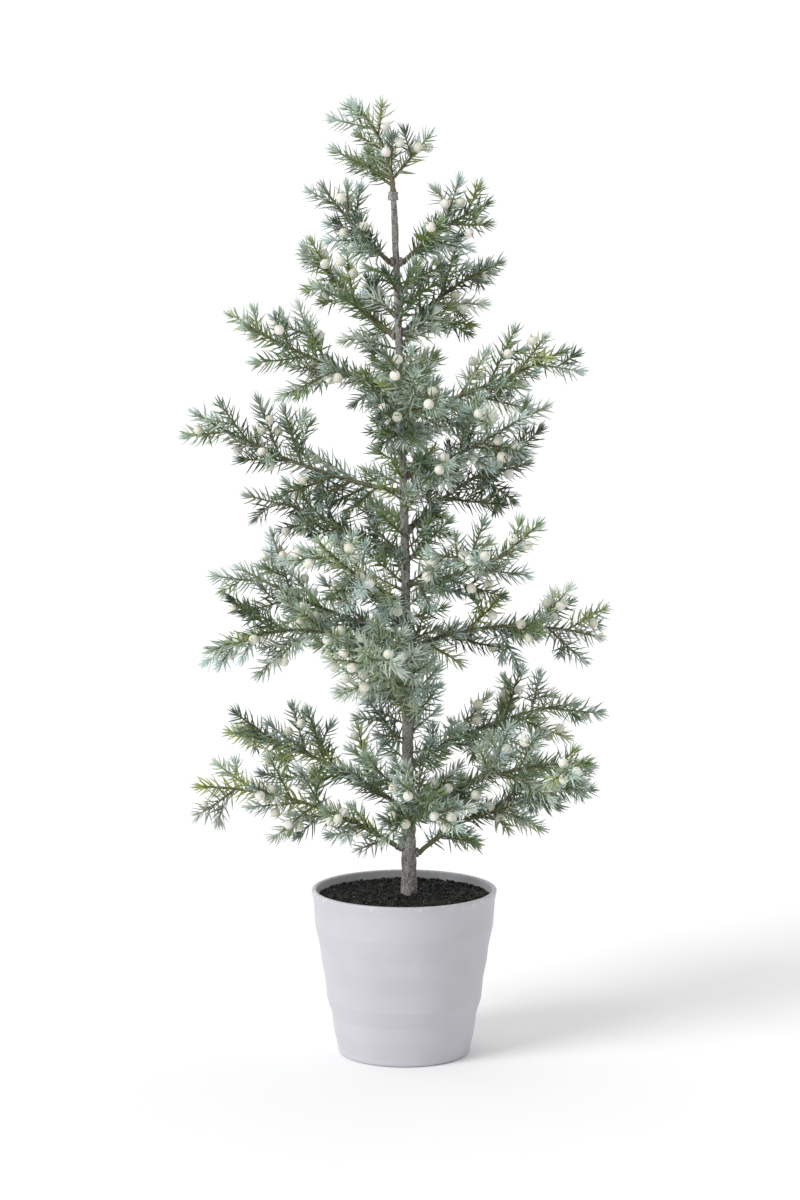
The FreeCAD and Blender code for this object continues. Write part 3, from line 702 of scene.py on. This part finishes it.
class Shader:
    """A material's nodes, made one at a time."""

    def __init__(self, name):
        self.material = bpy.data.materials.new(name)
        self.material.use_nodes = True
        self.tree = self.material.node_tree
        self.surface = self.tree.nodes["Principled BSDF"]

    def node(self, kind, links=(), **values):
        """Adds a node; values set its sockets or properties, and links join sockets, by name."""
        made = self.tree.nodes.new(kind)
        for key, value in values.items():
            setattr(made, key, value)
        for socket, source in dict(links).items():
            if isinstance(source, bpy.types.NodeSocket):
                self.tree.links.new(source, made.inputs[socket])
            else:
                made.inputs[socket].default_value = source
        return made

    def place(self):
        return self.node("ShaderNodeTexCoord").outputs["Object"]

    def noise(self, scale, detail=3.0, roughness=0.6, distortion=0.0, where=None):
        return self.node(
            "ShaderNodeTexNoise",
            {"Vector": where or self.place(), "Scale": scale, "Detail": detail,
             "Roughness": roughness, "Distortion": distortion},
        ).outputs["Fac"]

    def reading(self, name):
        return self.node("ShaderNodeAttribute", attribute_name=name).outputs["Fac"]

    def ramp(self, source, stops):
        """Colours by a number, with each stop's place and linear colour."""
        made = self.node("ShaderNodeValToRGB", {"Fac": source})
        ramp = made.color_ramp
        while len(ramp.elements) < len(stops):
            ramp.elements.new(0.5)
        for element, (at, colour) in zip(ramp.elements, stops):
            element.position = at
            element.color = (*colour, 1.0)
        return made.outputs["Color"]

    def between(self, source, low, high, to_low=0.0, to_high=1.0):
        return self.node(
            "ShaderNodeMapRange",
            {"Value": source, "From Min": low, "From Max": high, "To Min": to_low, "To Max": to_high},
        ).outputs["Result"]

    def math(self, operation, a, b):
        made = self.node("ShaderNodeMath", {0: a, 1: b}, operation=operation)
        return made.outputs[0]

    def mix(self, share, a, b, blend="MIX"):
        made = self.node("ShaderNodeMix", data_type="RGBA", blend_type=blend)
        for socket, value in (("Factor_Float", share), ("A_Color", a), ("B_Color", b)):
            wanted = next(s for s in made.inputs if s.identifier == socket)
            if isinstance(value, bpy.types.NodeSocket):
                self.tree.links.new(value, wanted)
            else:
                wanted.default_value = value if isinstance(value, float) else (*value, 1.0)
        return next(s for s in made.outputs if s.identifier == "Result_Color")

    def finish(self, colour, roughness, height=None, depth=0.0001, strength=1.0, **sockets):
        """Joins a colour, a roughness and a bump height to the surface, and sets its other sockets."""
        self.tree.links.new(colour, self.surface.inputs["Base Color"])
        self.tree.links.new(roughness, self.surface.inputs["Roughness"])
        if height is not None:
            bump = self.node(
                "ShaderNodeBump", {"Height": height, "Distance": depth, "Strength": strength}
            )
            self.tree.links.new(bump.outputs["Normal"], self.surface.inputs["Normal"])
        for key, value in sockets.items():
            self.surface.inputs[key.replace("_", " ")].default_value = value
        return self.material


def srgb(r, g, b):
    """A linear colour from the usual 0 to 255 screen numbers."""
    return tuple(
        (c / 255 / 12.92) if c <= 10 else ((c / 255 + 0.055) / 1.055) ** 2.4 for c in (r, g, b)
    )


def foliage_material():
    """Moulded needles: green by the sprig's tone, paler and bluer where they were frosted."""
    s = Shader("frosted_needles")
    tone, frost, along = s.reading("tone"), s.reading("frost"), s.reading("along")
    green = s.ramp(
        tone,
        [
            (0.0, srgb(44, 62, 50)),
            (0.25, srgb(74, 98, 72)),
            (0.5, srgb(108, 134, 86)),
            (0.75, srgb(140, 158, 84)),
            (1.0, srgb(174, 186, 96)),
        ],
    )
    mottle = s.noise(420.0, 4.0, 0.65)
    green = s.mix(s.between(mottle, 0.35, 0.7, 0.0, 0.35), green, srgb(60, 84, 52))
    root = s.between(along, 0.0, 0.38, 0.65, 0.0)
    green = s.mix(root, green, srgb(150, 162, 92))
    dust = s.noise(1500.0, 3.0, 0.7)
    drift = s.noise(160.0, 2.0, 0.5)
    amount = s.math("ADD", frost, s.between(drift, 0.3, 0.7, -0.22, 0.22))
    amount = s.math("ADD", amount, s.between(along, 0.1, 1.0, -0.12, 0.16))
    facing = s.node("ShaderNodeTexCoord").outputs["Normal"]
    upward = s.node("ShaderNodeSeparateXYZ", {"Vector": facing}).outputs["Z"]
    amount = s.math("ADD", amount, s.between(upward, -0.7, 0.8, -0.24, 0.20))
    mask = s.math("ADD", amount, s.between(dust, 0.3, 0.7, -0.30, 0.30))
    mask = s.between(mask, 0.24, 1.02, 0.0, 0.90)
    white = s.mix(s.between(s.noise(45.0, 2.0, 0.5), 0.40, 0.60), srgb(208, 228, 226), srgb(224, 232, 222))
    colour = s.mix(mask, green, white)
    return s.finish(
        colour, s.between(dust, 0.2, 0.8, 0.42, 0.68), dust, 0.00012, 0.5, Specular_IOR_Level=0.35
    )


def twig_material():
    """Twigs and wires: olive to brown wrapping tape with darker scars and a dusting of frost."""
    s = Shader("wrapped_twigs")
    grain = s.noise(700.0, 5.0, 0.7)
    patch = s.noise(110.0, 3.0, 0.6)
    colour = s.ramp(
        patch,
        [(0.25, srgb(92, 84, 64)), (0.5, srgb(116, 112, 84)), (0.75, srgb(128, 132, 92))],
    )
    colour = s.mix(s.between(grain, 0.35, 0.6, 0.7, 0.0), colour, srgb(62, 52, 42))
    flock = s.between(s.noise(1900.0, 2.0, 0.6), 0.60, 0.74, 0.0, 0.7)
    colour = s.mix(flock, colour, srgb(196, 200, 190))
    return s.finish(colour, s.between(grain, 0.2, 0.8, 0.95, 0.7), grain, 0.0005, 0.8)


def bark_material():
    """Trunk bark: grey-brown and fissured, dusted with white in the hollows and on the ridges."""
    s = Shader("trunk_bark")
    where = s.node(
        "ShaderNodeMapping", {"Vector": s.place(), "Scale": (1.0, 1.0, 0.32)}
    ).outputs["Vector"]
    ridge = s.noise(520.0, 6.0, 0.68, 0.4, where)
    patch = s.noise(60.0, 3.0, 0.6)
    colour = s.ramp(
        ridge,
        [(0.30, srgb(62, 57, 54)), (0.47, srgb(122, 118, 114)), (0.62, srgb(164, 161, 157)),
         (0.80, srgb(188, 187, 184))],
    )
    colour = s.mix(s.between(patch, 0.40, 0.68, 0.0, 0.45), colour, srgb(116, 106, 98))
    flock = s.between(s.noise(1500.0, 3.0, 0.6), 0.53, 0.64, 0.0, 0.9)
    colour = s.mix(flock, colour, srgb(214, 214, 212))
    return s.finish(colour, s.between(ridge, 0.2, 0.8, 0.98, 0.8), ridge, 0.0008, 0.9)


def berry_material():
    """Berries: cream to greenish white with a mottled bloom, and brown stalks."""
    s = Shader("frosted_berries")
    ripe = s.reading("ripe")
    skin = s.ramp(ripe, [(0.0, srgb(220, 220, 202)), (0.5, srgb(234, 232, 220)), (1.0, srgb(244, 242, 236))])
    bloom = s.noise(330.0, 4.0, 0.6)
    skin = s.mix(s.between(bloom, 0.35, 0.62, 0.30, 0.0), skin, srgb(190, 188, 164))
    speck = s.between(s.noise(1700.0, 2.0, 0.5), 0.62, 0.72, 0.0, 0.6)
    skin = s.mix(speck, skin, srgb(250, 250, 246))
    stalk = s.between(ripe, -1.0, -0.5, 1.0, 0.0)
    skin = s.mix(stalk, skin, srgb(96, 86, 62))
    return s.finish(
        skin, s.between(bloom, 0.3, 0.7, 0.62, 0.42), bloom, 0.0003, 0.5,
        Subsurface_Weight=0.15, Subsurface_Scale=0.0015,
    )


def soil_material():
    """Soil: nearly black crumbs with browner and greyer ones and tiny white grit."""
    s = Shader("dry_soil")
    crumb = s.noise(620.0, 5.0, 0.7)
    patch = s.noise(90.0, 3.0, 0.6)
    colour = s.ramp(crumb, [(0.32, srgb(12, 11, 10)), (0.55, srgb(27, 24, 22)), (0.78, srgb(56, 52, 48))])
    colour = s.mix(s.between(patch, 0.4, 0.7, 0.0, 0.4), colour, srgb(30, 24, 20))
    grit = s.between(s.noise(1100.0, 1.0, 0.5), 0.715, 0.74, 0.0, 1.0)
    colour = s.mix(grit, colour, srgb(198, 196, 190))
    return s.finish(colour, s.between(crumb, 0.2, 0.8, 1.0, 0.82), crumb, 0.0009, 0.9)


def pot_material():
    """Pot: pale cool grey moulded plastic, satin, with a faint orange-peel, scuffs and dust at the rim."""
    s = Shader("satin_pot")
    low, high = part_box("pot")
    cloud = s.noise(22.0, 4.0, 0.55)
    fine = s.noise(900.0, 3.0, 0.6)
    colour = s.ramp(cloud, [(0.3, srgb(186, 186, 192)), (0.7, srgb(194, 194, 200))])
    height = s.node("ShaderNodeSeparateXYZ", {"Vector": s.place()}).outputs["Z"]
    near_rim = s.between(height, high[2] - 6 * MM, high[2], 0.0, 1.0)
    dusty = s.math("MULTIPLY", near_rim, s.between(s.noise(260.0, 5.0, 0.7), 0.55, 0.66, 0.0, 0.75))
    colour = s.mix(dusty, colour, srgb(226, 226, 224))
    scuff = s.between(s.noise(140.0, 6.0, 0.75, 1.5), 0.66, 0.72, 0.0, 0.35)
    colour = s.mix(scuff, colour, srgb(172, 172, 176))
    rough_skin = s.between(cloud, 0.3, 0.7, 0.36, 0.50)
    return s.finish(colour, rough_skin, fine, 0.00006, 0.35, Specular_IOR_Level=0.4)


def mottled(name, dark, light, scale, depth, metallic=0.0):
    """A plain mottled material for a part that the soil or the bark hides."""
    s = Shader(name)
    grain = s.noise(scale, 5.0, 0.65)
    colour = s.ramp(grain, [(0.3, dark), (0.7, light)])
    return s.finish(colour, s.between(grain, 0.2, 0.8, 0.9, 0.5), grain, depth, 0.8, Metallic=metallic)


def dress(made, material):
    """Gives an object one material, in its data."""
    made.data.materials.clear()
    made.data.materials.append(material)


# ------------------------------------------------------------------------------ building the tree

JOINTS = {joint["child"]: joint for joint in frame["joints"]}
needle_look, twig_look = foliage_material(), twig_material()
berry_look, bark_look = berry_material(), bark_material()

# How much more frosted and lighter than usual the sprigs of some pieces are: (frost, tone)
CHARACTER = {
    "branch_11": (-0.25, -0.25),
    "branch_12": (-0.2, -0.2),
    "branch_13": (0.22, 0.0),
    "branch_14": (0.2, 0.0),
    "branch_18": (0.25, 0.05),
    "branch_05": (0.1, 0.05),
    "branch_09": (0.12, 0.0),
    "trunk_sprigs": (0.05, -0.05),
    "trunk_tufts": (0.0, 0.05),
}



def plant(growth, body, node=None):
    """Makes the needles and wood of a limb or of the trunk's sprigs, in place of a CAD node, if any."""
    frost_more, tone_more = CHARACTER.get(growth.name, (0.0, 0.0))
    count = len(growth.sprigs)
    tones = (USUAL_TONE + tone_more + rng.normal(0, TONE_SPREAD, count)).clip(0.05, 0.98)
    frosts = USUAL_FROST + frost_more + rng.normal(0, FROST_SPREAD, count)
    foliage, bare_wood = needles(growth, tones, frosts), wood(growth)
    for made, look in ((foliage, needle_look), (bare_wood, twig_look)):
        dress(made, look)
        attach(made, body)
    if node:
        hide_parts(node)


for body in sorted(JOINTS):
    limb = Limb(body, JOINTS[body])
    plant(limb, body, body)
    fruit_node = "leader_berries" if body == "leader" else body.replace("branch", "berries")
    fruit = berries(limb, fruit_node)
    dress(fruit, berry_look)
    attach(fruit, body)
    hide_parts(fruit_node)
plant(TrunkGrowth("trunk_sprigs"), "potted_trunk", "trunk_sprigs")
plant(TrunkTufts("trunk_tufts"), "potted_trunk")

for made, node in ((trunk(), "trunk_bark"), (knots(), "branch_collars")):
    dress(made, bark_look)
    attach(made, "potted_trunk")
    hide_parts(node)

ground = soil()
dress(ground, soil_material())
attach(ground, "potted_trunk")
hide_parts("soil_layer")

KEPT = {
    "ballast_weight": mottled("grey_cement", srgb(120, 118, 112), srgb(168, 166, 160), 160.0, 0.0006),
    "foam_plug": mottled("dry_foam", srgb(58, 92, 62), srgb(86, 124, 84), 500.0, 0.0006),
    "trunk_rod": mottled("drawn_steel", srgb(120, 120, 124), srgb(176, 176, 180), 900.0, 0.00005, 0.9),
    "pot": pot_material(),
}
for node, material in KEPT.items():
    for held in frame["nodes"][node].material_slots:
        held.link = "OBJECT"
        held.material = material

# ------------------------------------------------------------------------------ stage, light, camera

floor = make_mesh(
    "floor",
    np.array([(-6.0, -6.0, 0.0), (6.0, -6.0, 0.0), (6.0, 6.0, 0.0), (-6.0, 6.0, 0.0)]),
    [np.array([(0, 1, 2, 3)])],
    smooth=False,
)
paper = Shader("pale_floor")
dress(
    floor,
    paper.finish(
        paper.ramp(paper.noise(3.0), [(0.3, (0.93, 0.93, 0.93)), (0.7, (0.95, 0.95, 0.95))]),
        paper.between(paper.noise(8.0), 0.3, 0.7, 0.9, 1.0),
    ),
)

world = bpy.data.worlds.new("studio")
world.use_nodes = True
sky = world.node_tree.nodes
direction = sky.new("ShaderNodeTexCoord").outputs["Generated"]
split_up = sky.new("ShaderNodeSeparateXYZ")
shade = sky.new("ShaderNodeMapRange")
for key, value in (("From Min", -0.3), ("From Max", 0.5), ("To Min", 0.55), ("To Max", 1.06)):
    shade.inputs[key].default_value = value
world.node_tree.links.new(direction, split_up.inputs["Vector"])
world.node_tree.links.new(split_up.outputs["Y"], shade.inputs["Value"])
world.node_tree.links.new(shade.outputs["Result"], sky["Background"].inputs["Strength"])
sky["Background"].inputs["Color"].default_value = (1.0, 1.0, 1.0, 1.0)
bpy.context.scene.world = world

sun = bpy.data.lights.new("key", "SUN")
sun.energy, sun.angle = 2.0, math.radians(28)
key = bpy.data.objects.new("key", sun)
key.rotation_euler = Vector((0.72, 0.55, -0.62)).to_track_quat("-Z", "Y").to_euler()
bpy.context.scene.collection.objects.link(key)

camera_data = bpy.data.cameras.new("camera")
camera_data.lens, camera_data.sensor_width = 88.6, 36.0
camera_data.dof.use_dof = False
camera = bpy.data.objects.new("camera", camera_data)
camera.location = (-0.0027, -1.866, 0.507)
camera.rotation_euler = (math.pi / 2 - 0.114, 0.0, 0.0)
bpy.context.scene.collection.objects.link(camera)
bpy.context.scene.camera = camera
bpy.context.scene.view_settings.view_transform = "Standard"
